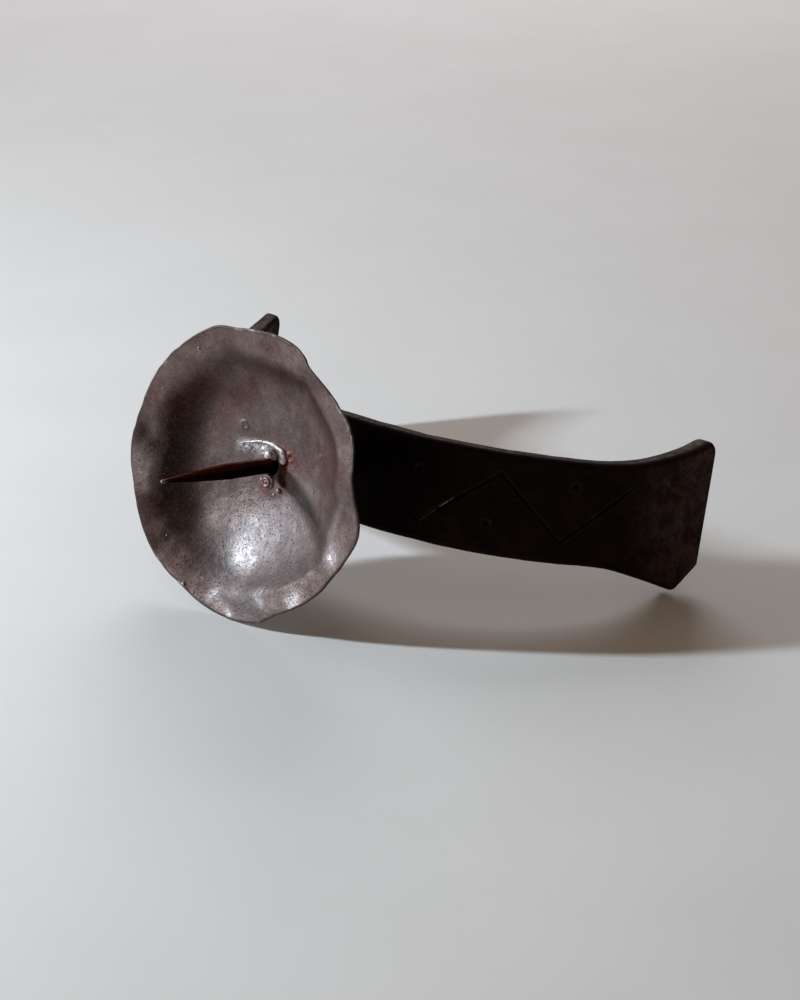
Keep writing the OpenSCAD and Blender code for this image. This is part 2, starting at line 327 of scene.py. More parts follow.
def around(angle, rows, column):
    """Smooth value at angles in degrees, from one column of rows that start with their angle."""
    angles = np.array([row[0] for row in rows], float)
    values = np.array([row[column] for row in rows], float)
    angles = np.concatenate([[angles[-1] - 360], angles, [angles[0] + 360]])
    values = np.concatenate([[values[-1]], values, [values[0]]])
    i = np.clip(np.searchsorted(angles, angle, side="right") - 1, 0, len(angles) - 2)
    k = smooth_step((angle - angles[i]) / (angles[i + 1] - angles[i]))
    return values[i] + (values[i + 1] - values[i]) * k


def pan_angles():
    """Angles of the pan's columns, in degrees."""
    return (np.arange(PAN_COLUMNS) * 360 / PAN_COLUMNS)[None, :]


def pan_share():
    """Places along the pan's profile: 0 at the hole, 1 at the seat's edge, 2 at the fold, 3 at the rim."""
    return np.concatenate([
        np.linspace(0, 1, SEAT_ROWS, endpoint=False),
        np.linspace(1, 2, BOWL_ROWS, endpoint=False),
        np.linspace(2, 3, FLANGE_ROWS)])[:, None]


def fold_radius(angle):
    return CREASE_R + CREASE_WAVE * around(angle, RIM_WAVES, 1) + around(angle, FOLD, 1)


def pan_profile(angle, share):
    """Radius and height of the inner face before it is hammered."""
    fold_r = fold_radius(angle)
    rim_r = PAN_R + around(angle, RIM_WAVES, 1)
    rim_up = around(angle, RIM_WAVES, 2)
    rim_z = RIM_Z + rim_up
    slope_up = around(angle, FOLD, 1) * FLANGE_RISE / (PAN_R - CREASE_R)
    fold_z = RIM_Z - FLANGE_RISE + CREASE_WAVE * rim_up + slope_up + around(angle, FOLD, 3)
    seat = np.clip(share, 0, 1)
    bowl = np.clip(share - 1, 0, 1)
    flange = np.clip(share - 2, 0, 1)
    radius = HOLE_R + (SEAT_R - HOLE_R) * seat + (fold_r - SEAT_R) * bowl + (rim_r - fold_r) * flange
    wall = (radius - SEAT_R) / (fold_r - SEAT_R)
    wall_z = SEAT_Z + (fold_z - SEAT_Z) * (wall + 2 * wall * wall) / 3
    flange_z = fold_z + (rim_z - fold_z) * (radius - fold_r) / (rim_r - fold_r)
    folded = soft_min(wall_z, flange_z, around(angle, FOLD, 2))
    return radius, np.where(radius < SEAT_R, SEAT_Z, folded)


def pan_dents():
    """Middles of the hammer's dents, in rings round the pan."""
    rng = np.random.RandomState(11)
    middles = []
    for ring_r, spacing in DENT_RINGS:
        count = int(2 * math.pi * ring_r / spacing)
        for i in range(count):
            a = 2 * math.pi * (i + rng.uniform(-0.3, 0.3)) / count
            r = ring_r + rng.uniform(-1.6, 1.6)
            middles.append((r * math.cos(a), r * math.sin(a)))
    return np.array(middles)


def pan_relief(inner):
    """How far the hammered inner face stands above the plain one."""
    flat = inner * (1, 1, 0)
    radius = np.hypot(inner[..., 0], inner[..., 1])
    fade_seat = smooth_step((radius - 6) / 6)
    fade_rim = 1 - 0.75 * smooth_step((radius - 37) / 4)
    dents = facets(inner[..., :2], pan_dents(), DENT_FACE_R) - 0.1
    relief = dents * fade_seat * fade_rim * (0.55 + 0.45 * soft_noise(flat, 17, 5))
    relief += 0.3 * soft_noise(flat, 13, 21) * fade_seat * fade_rim
    relief += 0.07 * soft_noise(flat, 4.2, 22) * (0.4 + 0.6 * fade_seat)
    relief += 0.03 * soft_noise(flat, 1.5, 23)
    pits = np.maximum(soft_noise(flat, 0.9, 24) - 0.25, 0)
    for x, y, size in PIT_CLUSTERS:
        relief -= PIT_DEPTH * pits * bell(away_from(inner, (x, y)), size)
    relief += RING_MARK_H * bell(away_from(inner, RING_MARK) - RING_MARK_R, 0.32)
    relief -= RED_PIT_DEPTH * bell(away_from(inner, RED_PIT), 0.6)
    relief += RED_PIT_LIP * bell(away_from(inner, RED_PIT) - 1.15, 0.4)
    relief -= GROOVE_DEPTH * bell(away_from_path(inner, GROOVE), 0.8)
    relief -= LEFT_DIP_DEPTH * bell(away_from_path(inner, LEFT_DIP), 5)
    scraped = bell(away_from_path(inner, SCRAPED), SCRAPED_W)
    relief += (0.25 + 0.16 * soft_noise(flat, 0.8, 25)) * scraped
    return relief


def level_at(inner, x, y):
    """Height of the pan's inner face at a place in its plane."""
    away = away_from(inner, (x, y))
    return float(inner[np.unravel_index(np.argmin(away), away.shape)][2])


def flatten(inner):
    """Heights of the inner face with the hammer's flats blended into it."""
    level = inner[..., 2].copy()
    for x, y, size, slope_x, slope_y, share in FLATS:
        flat = level_at(inner, x, y) + slope_x * (inner[..., 0] - x) + slope_y * (inner[..., 1] - y)
        level += share * bell(away_from(inner, (x, y)), size) * (flat - inner[..., 2])
    return level


def rim_thickness():
    """Thickness of the rim round the pan."""
    turn = np.radians(pan_angles())
    return EDGE_T + EDGE_T_MORE * (1 + np.sin(3 * turn + 0.6) * np.sin(7 * turn + 2)) / 2


def pan_face():
    """Grid of points on the pan's hammered inner face, from the hole to the rim."""
    angle = pan_angles()
    turn = np.radians(angle)
    share = pan_share()
    radius, height = pan_profile(angle, share)
    flange = smooth_step(share - 2)
    circle = np.stack([10 * np.cos(turn), 10 * np.sin(turn), 0 * turn], -1)
    nicks = NICK_DEPTH * np.maximum(soft_noise(circle, 0.8, 31), 0)
    radius = radius - flange * rim_thickness() / 2 - nicks * flange ** 3
    inner = np.stack([radius * np.cos(turn), radius * np.sin(turn), height], -1)
    hole_in = 1 - np.clip(share, 0, 1)
    inner[..., 0] += SPIKE_X * hole_in
    inner[..., 1] += ROOT_UP * hole_in
    inner[..., 2] += pan_relief(inner)
    inner[..., 2] = flatten(inner)
    return inner


def pan_sheet(inner):
    """Grid over the whole sheet: its inner face, its rounded rim and its underside, back to the hole."""
    normal = grid_normals(inner)
    normal *= np.sign(normal[..., 2:3])
    thinner = smooth_step((pan_share() - THIN_FROM) / (3 - THIN_FROM))
    thick = PAN_T + (rim_thickness() - PAN_T) * thinner
    outer = inner - normal * thick[..., None]
    outer[0, :, 2] = PAN_UNDER_Z
    middle = (inner[-1] + outer[-1]) / 2
    half = (inner[-1] - outer[-1]) / 2
    reach = np.linalg.norm(half, axis=-1, keepdims=True)
    outwards = inner[-1] - inner[-3]
    outwards /= np.linalg.norm(outwards, axis=-1, keepdims=True)
    edge = []
    for i in range(1, EDGE_ROWS):
        a = math.pi * i / EDGE_ROWS
        edge.append(middle + half * math.cos(a) + outwards * reach * math.sin(a))
    return np.concatenate([inner, np.array(edge), outer[::-1]])


def pan_rust(rows):
    """Rust in the red pit, by the welds, round the root and in faint spots."""
    patchy = 0.5 + 0.5 * soft_noise(rows, 1.6, 71)
    by_lip = bell(away_from_path(rows, LIP_PATH) - 1.6, 0.5) * (rows[..., 0] > -3)
    by_tack = bell(away_from(rows, (SPIKE_X, -TACK_OUT)) - 2.7, 0.6)
    rust = 1.6 * bell(away_from(rows, RED_PIT), 1.7)
    rust += patchy * (by_lip + by_tack + spots_added(rows, RUST_SPOTS))
    rust += bell(away_from_path(rows, RUSTY_PATH), 0.6) * (0.5 + patchy)
    rust += 0.25 * bell(away_from(rows, (0, 0)) - 5, 2)
    rust += 0.2 * (0.5 + soft_noise(rows, 5, 73)) * smooth_step((rows[..., 1] + 6) / 20)
    return rust


def pan_soot_and_shade(rows):
    """Soot and painted shade on the wall inside the fold, and in spots."""
    angle = np.degrees(np.arctan2(rows[..., 1], rows[..., 0])) % 360
    inside = fold_radius(angle) - SOOT_AND_SHADE_IN - away_from(rows, (0, 0))
    reach = np.where(inside > 0, around(angle, SOOT_AND_SHADE, 2), around(angle, SOOT_AND_SHADE, 3))
    blotchy = 1 - 0.5 * smooth_step(-inside / 3) * (1 - smooth_step(soft_noise(rows, 4.5, 72) + 0.6))
    soot = around(angle, SOOT_AND_SHADE, 1) * bell(inside, reach) * blotchy
    return raised_by_spots(soot, rows, SOOT_AND_SHADE_SPOTS)


def pan_marks(rows, face_rows):
    """Wear, soot and rust, with painted shade and painted highlights. All but the rim's edge lie on the
    inner face, the first face_rows rows.
    """
    is_edge = np.zeros(rows.shape[:2])
    is_edge[face_rows - 2:face_rows + EDGE_ROWS + 1] = 1
    on_face = np.zeros(rows.shape[:2])
    on_face[:face_rows] = 1
    dark_and_shade = 0.7 * sum(bell(away_from(rows, (x, y)), size) for x, y, size in PIT_CLUSTERS)
    # Rubbed metal, pale along the ridge and in spots: partly painted highlights
    rubbed_and_highlight = 0.5 * bell(away_from_path(rows, RUBBED_HIGHLIGHT_RIDGE), 1.1)
    return {
        "edge": is_edge,
        # Dark pits, and painted shade along the groove
        "dark_and_shade": on_face * (dark_and_shade + 4 * bell(away_from_path(rows, GROOVE), 1.0)),
        "rust": on_face * pan_rust(rows),
        "bare_and_glints": on_face * 0.6 * bell(away_from_path(rows, SCRAPED), SCRAPED_W),
        "soot_and_shade": on_face * pan_soot_and_shade(rows),
        "rubbed_and_highlight": on_face * raised_by_spots(rubbed_and_highlight, rows, RUBBED_HIGHLIGHT_SPOTS),
        "smoke_and_shade": on_face * spots_added(rows, SMOKE_AND_SHADE_SPOTS),
        "grey_shade": on_face * spots_added(rows, GREY_SHADE_SPOTS),
    }


def drip_pan(inner, material):
    """The hammered sheet, closed at its rim and round its hole."""
    rows = pan_sheet(inner)
    faces = tube_faces(len(rows), PAN_COLUMNS, close_rows=True)
    marks = pan_marks(rows, len(inner))
    return make_piece("hammered_pan", rows, faces, "drip_pan", material, marks)


# Arch

ARCH_STEP = 0.32
FACE_COLUMNS = 96
EDGE_COLUMNS = 6
SIDE_COLUMNS = 8
CORNER_ROWS = 12
CROWN_FLAT = STEM_W * math.sqrt(2)
ON_FACE = BAR_T / 2 - 0.01
# Foot's lower corner, hammered off: half width left at the end, slope, softness
CLIP_END_W = 15
CLIP_SLOPE = 1.107
CLIP_SOFT = 1.2
# How far the lower edge droops before that corner, and over what length
FOOT_DROOP = 1.4
DROOP_L = 30
UPPER_CORNER_R = 2.6
# Blows of the hammer on the bar: how many, how far along and across, radius of the hammer's face
BLOWS = 170
BLOWS_ALONG = 115
BLOWS_ACROSS = 20
BLOW_FACE_R = 110
# Chiselled zigzag and punched dots on each leg: distance from the crown's middle, place across the bar
ZIGZAG = ((12.8, 5.3), (30.9, -9.1), (52.6, 9.0), (70.3, -8.4), (89.1, 9.0))
ZIGZAG_DEPTH = 0.34
ZIGZAG_W = 0.58
DOTS = ((29.9, 5.9), (50.2, -5.6), (72.6, 8.0))
DOT_DEPTH = 0.42
DOT_W = 0.95
SCRATCHES = (((31.9, -8.7), (36.0, -4.9)), ((37.2, -3.6), (40.6, -0.3)))
# Where the brown of the feet starts along the bar, and over what length it grows
FOOT_BROWN_FROM = 84
FOOT_BROWN_L = 24


def leg_curve(t):
    """Middle line of the right leg in the XZ plane, and its direction."""
    lean = math.radians(FOOT_LEAN)
    mid_z = ARCH_H - BAR_T / 2
    hold = np.array([
        (CROWN_FLAT / 2, mid_z),
        (CROWN_FLAT / 2 + CROWN_BEND, mid_z),
        (FOOT_SPAN / 2 - LEG_BEND * math.sin(lean), LEG_BEND * math.cos(lean)),
        (FOOT_SPAN / 2, 0)])
    t = np.asarray(t)[:, None]
    u = 1 - t
    place = u ** 3 * hold[0] + 3 * u ** 2 * t * hold[1] + 3 * u * t ** 2 * hold[2] + t ** 3 * hold[3]
    way = u ** 2 * (hold[1] - hold[0]) + 2 * u * t * (hold[2] - hold[1]) + t ** 2 * (hold[3] - hold[2])
    return place, way / np.linalg.norm(way, axis=1, keepdims=True)


def leg_by_length():
    """Lengths along the leg against the curve's own parameter."""
    t = np.linspace(0, 1, 400)
    place, _ = leg_curve(t)
    length = np.concatenate([[0], np.cumsum(np.linalg.norm(np.diff(place, axis=0), axis=1))])
    return length, t


def bar_section():
    """Outline of the bar: offset across its thickness, share of the half width, offset along the width."""
    flat_t = BAR_T / 2 - BAR_EDGE_R
    corner = np.linspace(0, math.pi / 2, EDGE_COLUMNS + 2)[1:-1]
    half = [(BAR_T / 2, v, 0) for v in np.linspace(-1, 1, FACE_COLUMNS)]
    half += [(flat_t + BAR_EDGE_R * math.cos(a), 1, BAR_EDGE_R * math.sin(a)) for a in corner]
    half += [(flat_t * v, 1, BAR_EDGE_R) for v in np.linspace(1, -1, SIDE_COLUMNS)]
    half += [(-flat_t - BAR_EDGE_R * math.cos(a), 1, BAR_EDGE_R * math.sin(a)) for a in corner[::-1]]
    half = np.array(half)
    return np.concatenate([half, -half])


def foot_half_widths(from_end):
    """Half widths of the bar above and below its middle line, at distances from the foot's end."""
    flare = np.clip((FOOT_FLARE - from_end) / FOOT_FLARE, 0, 1) ** 2
    half_w = BAR_W / 2 + (FOOT_W - BAR_W) / 2 * flare
    corner_in = np.clip((UPPER_CORNER_R - from_end) / UPPER_CORNER_R, 0, 1)
    upper_w = half_w - UPPER_CORNER_R * (1 - np.sqrt(1 - corner_in ** 2))
    drooping = half_w + FOOT_DROOP * smooth_step((FOOT_FLARE - from_end) / DROOP_L)
    return upper_w, soft_min(drooping, CLIP_END_W + CLIP_SLOPE * from_end, CLIP_SOFT)


def arch_rows():
    """Rings of points round the bar from foot to foot, and how far along the bar each of them lies."""
    length, t_of = leg_by_length()
    leg_l = length[-1]
    straight = np.arange(0, CROWN_FLAT / 2, ARCH_STEP)
    bent = np.linspace(0, leg_l - FOOT_CORNER_R, int(leg_l / ARCH_STEP))
    corner = leg_l - FOOT_CORNER_R * (1 - np.sin(np.linspace(0, math.pi / 2, CORNER_ROWS)[1:]))
    s = np.concatenate([straight, CROWN_FLAT / 2 + bent, CROWN_FLAT / 2 + corner])
    along = s - CROWN_FLAT / 2
    place, way = leg_curve(np.interp(np.maximum(along, 0), length, t_of))
    place[:, 0] += np.minimum(along, 0)
    square_out = np.stack([-way[:, 1], way[:, 0]], 1)
    level = smooth_step((along - leg_l + FOOT_LEVEL) / FOOT_LEVEL)[:, None]
    out = square_out * (1 - level) + np.array((1, 0)) * level
    out /= np.linalg.norm(out, axis=1, keepdims=True)
    stretch = 1 / np.sum(out * square_out, axis=1)
    outline = bar_section()
    upper_w, lower_w = foot_half_widths(leg_l - along)
    side_w = np.where(outline[None, :, 1] > 0, upper_w[:, None], lower_w[:, None])
    across = outline[None, :, 1] * (side_w - BAR_EDGE_R) + outline[None, :, 2]
    lift = outline[None, :, 0] * stretch[:, None]
    x = place[:, None, 0] + out[:, None, 0] * lift
    z = place[:, None, 1] + out[:, None, 1] * lift
    right = np.stack([x, across, z], -1)
    left = right[::-1] * (-1, 1, 1)
    return np.concatenate([left, right[1:]]), np.concatenate([-s[::-1], s[1:]])


def ornament(length, across):
    """Relief of the zigzag and the dots, and how far points are from them and from the scratches."""
    plane = np.stack([np.abs(length), across], -1)
    spread = np.stack([length, across, 0 * length], -1)
    faint = 0.5 + 0.5 * smooth_step((np.abs(length) - 24) / 8)
    cut = faint * (0.8 + 0.5 * soft_noise(spread, 4, 45))
    groove = away_from_path(plane, ZIGZAG) + 0.18 * soft_noise(spread, 1.8, 46)
    relief = -ZIGZAG_DEPTH * cut * np.maximum(1 - groove / ZIGZAG_W, 0)
    relief += 0.03 * cut * bell(groove - 0.85, 0.3)
    punched = np.minimum.reduce([away_from(plane, dot) for dot in DOTS])
    relief -= DOT_DEPTH * bell(punched + 0.2 * soft_noise(spread, 0.9, 47), DOT_W)
    relief += 0.09 * bell(punched - 1.5, 0.5) * (0.6 + soft_noise(spread, 2.2, 48))
    scratched = np.minimum.reduce([away_from_path(plane, scratch) for scratch in SCRATCHES])
    return relief, groove + 0.6 * (1 - faint), punched, scratched


def bar_hammering(rows, length):
    """How far the hammered bar stands above a plain one."""
    rng = np.random.RandomState(7)
    along = rng.uniform(-BLOWS_ALONG, BLOWS_ALONG, BLOWS)
    across = rng.uniform(-BLOWS_ACROSS, BLOWS_ACROSS, BLOWS)
    blows = np.stack([along, across], 1)
    dents = facets(np.stack([length, rows[..., 1]], -1), blows, BLOW_FACE_R) - 0.12
    relief = -np.clip(dents, -0.2, 0.3) * 0.5
    relief += 0.11 * soft_noise(rows, 14, 41) - 0.1
    relief += 0.04 * soft_noise(rows, 4, 42)
    relief += 0.014 * soft_noise(rows, 1.1, 43)
    return relief


def edge_wear(outline):
    """How worn the bar is round its outline: not on its faces, and most near its corners."""
    offset = np.abs(outline[:, 0])
    corner = 1 - np.clip(np.abs(offset - (BAR_T / 2 - 0.5)) / 1.2, 0, 1)
    return (offset < ON_FACE) * np.maximum(corner, 0.35)


def arch_strap(material):
    """The bent bar with its hammer marks, zigzag, dots, scratches and brown feet, and painted shade and
    glints at its cuts.
    """
    rows, s = arch_rows()
    outline = bar_section()
    normal = grid_normals(rows)
    centre = rows.mean(axis=1, keepdims=True)
    normal *= np.sign(np.sum(normal * (rows - centre), axis=(0, 1, 2)))
    length = np.repeat(s[:, None], len(outline), 1)
    across = rows[..., 1]
    outer_face = outline[:, 0] >= ON_FACE
    from_end = np.abs(s).max() - np.abs(length)
    carved, groove, punched, scratched = ornament(length, across)
    relief = bar_hammering(rows, length) + outer_face * carved
    relief *= 1 - smooth_step((2.5 - from_end) / 2)
    rows = rows + normal * relief[..., None]
    faces = closed_tube_faces(len(s), len(outline))
    foot = smooth_step((np.abs(length) - FOOT_BROWN_FROM) / FOOT_BROWN_L)
    foot_end = smooth_step((4.5 - from_end) / 3) * smooth_step((across + 6) / 14)
    marks = {
        "edge": edge_wear(outline) + outer_face * foot_end,
        # Painted shade in the zigzag and in the punched dots
        "dark_and_shade": outer_face * np.maximum(bell(groove, 0.38), 0.9 * bell(punched, 0.7)),
        # Bare steel in the scratches, and painted glints along the zigzag's edges and round the dots
        "bare_and_glints": outer_face * (
            0.4 * bell(scratched, 0.13) * (0.5 + 0.5 * soft_noise(rows, 0.7, 49))
            + 0.014 * bell(groove - 0.7, 0.15) * (1 + soft_noise(rows, 2.5, 50))
            + 0.018 * bell(punched - 1.3, 0.25) * (1 + soft_noise(rows, 1.8, 50))),
        "rust": foot * (0.4 + 0.6 * outer_face),
    }
    return make_piece("forged_arch", rows, faces, "arch_strap", material, marks)


# Pricket

BAR_COLUMNS = 64
# Exponents of a bar's outline: 2 is round, and a high one is square with soft corners
SQUARE = 7
ROUND = 2
# Rounded tip: distance from its end, share of its width
TIP_STEPS = ((0, 0.1), (0.05, 0.45), (0.18, 0.8), (0.4, 1))
# Ends of the stem: distance from the end, and how far its face is drawn in
STEM_STEPS = ((0, 0.5), (0.15, 0.12))
STEM_END_L = 0.6


def bar_ring(height, half_w, exponent):
    """Closed ring of a turned bar whose outline runs from round to nearly square."""
    a = ring_angles(BAR_COLUMNS) + 1e-4
    x = half_w * np.sign(np.cos(a)) * np.abs(np.cos(a)) ** (2 / exponent)
    y = half_w * np.sign(np.sin(a)) * np.abs(np.sin(a)) ** (2 / exponent)
    cos, sin = math.cos(math.radians(BAR_TURN)), math.sin(math.radians(BAR_TURN))
    return np.stack([x * cos - y * sin, x * sin + y * cos, 0 * a + height], -1)


def pricket_rings():
    """Rings from the spike's tip through the stem and the tenon to the peened head under the arch."""
    half_spike, half_stem, half_tip = SPIKE_W / 2, STEM_W / 2, TIP_W / 2
    taper_end = TIP_Z - POINT_L
    tip_l = TIP_STEPS[-1][0]
    rings = [(TIP_Z - down, half_tip * w, ROUND + 1) for down, w in TIP_STEPS]
    for k in np.linspace(0, 1, 50)[1:]:
        mid_w = half_tip + (half_spike - half_tip) * 0.57
        width = np.interp(k, (0, 0.5, 1), (half_tip, mid_w, half_spike))
        exponent = ROUND + 1 + (SQUARE - ROUND - 1) * k ** 0.5
        rings.append((TIP_Z - tip_l - (POINT_L - tip_l) * k, width, exponent))
    rings += [(z, half_spike, SQUARE) for z in np.linspace(taper_end, PAN_UNDER_Z, 40)[1:]]
    rings += [(PAN_UNDER_Z - down, half_stem - drawn, SQUARE) for down, drawn in STEM_STEPS]
    stem = np.linspace(PAN_UNDER_Z - STEM_END_L, ARCH_H + STEM_END_L, 44)
    rings += [(z, half_stem, SQUARE) for z in stem]
    rings += [(ARCH_H + up, half_stem - drawn, SQUARE) for up, drawn in STEM_STEPS[::-1]]
    rings += [(z, TENON_D / 2, ROUND) for z in (ARCH_H, CROWN_UNDER_Z)]
    dome_r = PEEN_D * PEEN_D / (8 * PEEN_H) + PEEN_H / 2
    for r in PEEN_D / 2 * np.sin(np.linspace(math.pi / 2, 0.03, 16)):
        rings.append((CROWN_UNDER_Z - PEEN_H + dome_r - math.sqrt(dome_r ** 2 - r ** 2), r, ROUND))
    return rings


def pricket(material):
    """The spike, stem, tenon and peened head, all forged from one bar."""
    rings = pricket_rings()
    rows = np.array([bar_ring(*ring) for ring in rings])
    out = rows * (1, 1, 0)
    out /= np.maximum(np.linalg.norm(out, axis=-1, keepdims=True), 1e-9)
    half_w = np.array([ring[1] for ring in rings])[:, None]
    relief = np.minimum(0.05 * half_w, 0.16) * (soft_noise(rows, 3.2, 51) - 0.6)
    relief += 0.03 * soft_noise(rows, 1.2, 52) * np.minimum(half_w, 1)
    rows = rows + out * relief[..., None]
    above = (rows[..., 2] - PAN_UNDER_Z) / (TIP_Z - PAN_UNDER_Z)
    in_spike = (above > -0.001) & (half_w <= SPIKE_W / 2)
    rows[..., 0] += in_spike * SPIKE_X
    rows[..., 1] += in_spike * (ROOT_UP + (TIP_UP - ROOT_UP) * above)
    faces = closed_tube_faces(len(rows), BAR_COLUMNS, flip=True)
    up_face = smooth_step((out[..., 1] - 0.45) / 0.3)
    tip = 0.35 * bell(TIP_Z - rows[..., 2], 1.2)
    marks = {
        # Rust on the upward face only, where it also stands for the light that face catches: partly
        # painted light
        "rust": (rows[..., 2] > SEAT_Z) * up_face,
        "bare_and_glints": tip,
        "edge": bell(np.abs(np.abs(out[..., 0]) - np.abs(out[..., 1])), 0.2),
        "dark_and_shade": 0 * tip,
    }
    return make_piece("forged_pricket", rows, faces, "pricket", material, marks, TIP_UP)


# Weld metal

BEAD_COLUMNS = 64
BEAD_ROWS = 30
# Tacks: side of the spike, share of the full height, how strongly rippled
TACKS = ((1, 0.98, 0), (-1, 0.6, 0.13))
# Lip of weld metal that curls round the upper tack: its path, half widths along it, how it is smoothed
LIP_PATH = (
    (-13.2, 4.6), (-10.6, 5.5), (-6.9, 6.6), (-2.5, 7.1), (0.5, 6.7), (2.8, 5.5), (3.2, 3.7), (2.4, 1.9))
LIP_HALF = (0.22, 0.32, 0.5, 0.65, 0.85, 1.1, 1.1, 0.7)
LIP_ROWS = 70
LIP_COLUMNS = 20
LIP_SMOOTH = 0.9
LIP_MOST_H = 0.8
# Balls of spatter on the pan: place in its plane, radius
SPATTER = (
    (-16.6, -36.1, 0.55), (17.3, -1.2, 0.34), (2.9, -5.2, 0.75), (1.2, -6.8, 0.35), (-3.6, -3.6, 0.7),
    (-12.8, -37.6, 0.3), (19.5, 9.5, 0.22), (-27, -25, 0.2), (-22, 30.5, 0.3))
SPATTER_COLUMNS = 16
SPATTER_ROWS = 9
SPATTER_RED_R = 6.5


def bead(x, y, height, ripples):
    """Dome of weld metal on the pan's seat, with rings round its middle."""
    a = ring_angles(BEAD_COLUMNS)
    rows = []
    for i in range(BEAD_ROWS):
        k = 0.02 + 0.98 * i / (BEAD_ROWS - 1)
        r = TACK_D / 2 * k
        z = height * (1 - k ** 3.2) * (1 - ripples + ripples * math.cos(2 * math.pi * (2.1 * k - 0.1)))
        rows.append(np.stack([x + r * np.cos(a), y + r * np.sin(a), SEAT_Z + z + 0 * a], -1))
    rows = np.array(rows)
    rows[:-1, :, 2] += 0.06 * soft_noise(rows[:-1], 1.4, 61)
    rows[-1, :, 2] = SEAT_Z
    return rows


def ball(x, y, z, ball_r):
    """Ball of weld metal, as rows of closed rings."""
    a = ring_angles(SPATTER_COLUMNS)
    rows = []
    for i in range(SPATTER_ROWS):
        b = math.pi * (0.02 + 0.96 * i / (SPATTER_ROWS - 1))
        ring = np.stack([math.sin(b) * np.cos(a), math.sin(b) * np.sin(a), math.cos(b) + 0 * a], -1)
        rows.append(np.array((x, y, z)) + ball_r * ring)
    return np.array(rows)


def join(grids):
    """Points and faces of several closed tubes, as one mesh."""
    points, faces = [], []
    for rows in grids:
        faces += closed_tube_faces(*rows.shape[:2], start=sum(len(p) for p in points))
        points.append(rows.reshape(-1, 3))
    return np.concatenate(points), faces


def weld_tacks(material):
    """The tack above the spike and the flatter, rusty one below it."""
    beads = [bead(SPIKE_X, side * TACK_OUT, TACK_H * share, ripples) for side, share, ripples in TACKS]
    points, faces = join(beads)
    lower = points[:, 1] < 0
    left = bell(away_from(points, (SPIKE_X - 1.6, -TACK_OUT + 0.6)), 1.3)
    marks = {"rust": 0.12 + 0.4 * lower + 0.6 * left, "bare_and_glints": 0.5 - 0.5 * lower}
    return make_piece("rippled_tacks", points, faces, "weld_tacks", material, marks)


def lip_line(inner):
    """Points along the lip on the pan, and its half widths, smoothed along its length."""
    corners = np.array(LIP_PATH, float)
    length = np.concatenate([[0], np.cumsum(np.linalg.norm(np.diff(corners, axis=0), axis=1))])
    at = np.linspace(0, length[-1], LIP_ROWS)
    spread = bell(at[:, None] - at[None, :], LIP_SMOOTH)
    spread /= spread.sum(axis=1, keepdims=True)
    plan = spread @ np.stack([np.interp(at, length, corners[:, i]) for i in (0, 1)], 1)
    half_ws = spread @ np.interp(at, length, LIP_HALF)
    half_ws *= np.sqrt(np.clip(np.minimum(at, length[-1] - at) / LIP_SMOOTH, 0.03, 1))
    level = spread @ np.array([level_at(inner, x, y) for x, y in plan])
    return np.stack([plan[:, 0], plan[:, 1], level + 0.15 * half_ws], 1), half_ws


def weld_lip(inner, material):
    """Raised lip of weld metal from the scraped patch round the upper tack."""
    path, half_ws = lip_line(inner)
    way = np.gradient(path, axis=0)
    way /= np.linalg.norm(way, axis=1, keepdims=True)
    up = np.array((0, 0, 1.0))
    side = np.cross(way, up)
    a = ring_angles(LIP_COLUMNS)
    rows = []
    for place, sideways, half_w in zip(path, side, half_ws):
        half_h = min(half_w, LIP_MOST_H)
        rows.append(place + half_w * np.outer(np.cos(a), sideways) + half_h * np.outer(np.sin(a), up))
    points = np.array(rows).reshape(-1, 3)
    points += 0.12 * soft_noise(points, 0.9, 63)[:, None]
    faces = closed_tube_faces(LIP_ROWS, LIP_COLUMNS, flip=True)
    # The curl round the upper tack is paler and less rusty: partly painted highlight
    curl = smooth_step((points[:, 0] + 4) / 4)
    marks = {"rust": 0.25 - 0.15 * curl, "bare_and_glints": 0.45 + 0.3 * curl}
    return make_piece("weld_lip", points, faces, None, material, marks)


def spatter(inner, material):
    """Small balls of weld metal sunk in the pan's face."""
    points, faces = join([ball(x, y, level_at(inner, x, y) + 0.35 * r, r) for x, y, r in SPATTER])
    reddish = 0.9 * (away_from(points, (0, 0)) < SPATTER_RED_R)
    marks = {"rust": 0.15 + reddish, "bare_and_glints": 0.75 - 0.5 * reddish}
    return make_piece("weld_spatter", points, faces, None, material, marks)


# Materials

PAN_DARK = (0.07, 0.036, 0.029)
PAN_MID = (0.122, 0.079, 0.07)
PAN_PALE = (0.2, 0.157, 0.15)
PIT_AND_SHADE_BROWN = (0.024, 0.011, 0.008)
RUST_RED = (0.15, 0.018, 0.011)
SOOT_AND_SHADE_BROWN = (0.013, 0.006, 0.0038)
RIM_BROWN = (0.05, 0.035, 0.031)
SMOKE_AND_SHADE_OLIVE = (0.034, 0.0235, 0.0145)
GREY_SHADE_STEEL = (0.072, 0.067, 0.071)
RUBBED_HIGHLIGHT_STEEL = (0.27, 0.264, 0.276)
BARE_STEEL = (0.6, 0.575, 0.57)
SCALE_BLACK = (0.0085, 0.0043, 0.0038)
SCALE_BROWN = (0.0135, 0.0075, 0.0055)
FOOT_BROWN = (0.077, 0.057, 0.053)
DRY_BROWN = (0.028, 0.0195, 0.0115)
WORN_GREY = (0.05, 0.041, 0.038)
WELD_GREY = (0.31, 0.23, 0.22)
BOARD_DIM = (0.665, 0.66, 0.658)
BOARD_PALE = (0.68, 0.676, 0.676)
# Tint that dulls the gleam of forge scale at grazing angles
GLEAM_DULL = (0.6, 0.6, 0.6, 1)


def darker(colour, share):
    return tuple(share * c for c in colour)


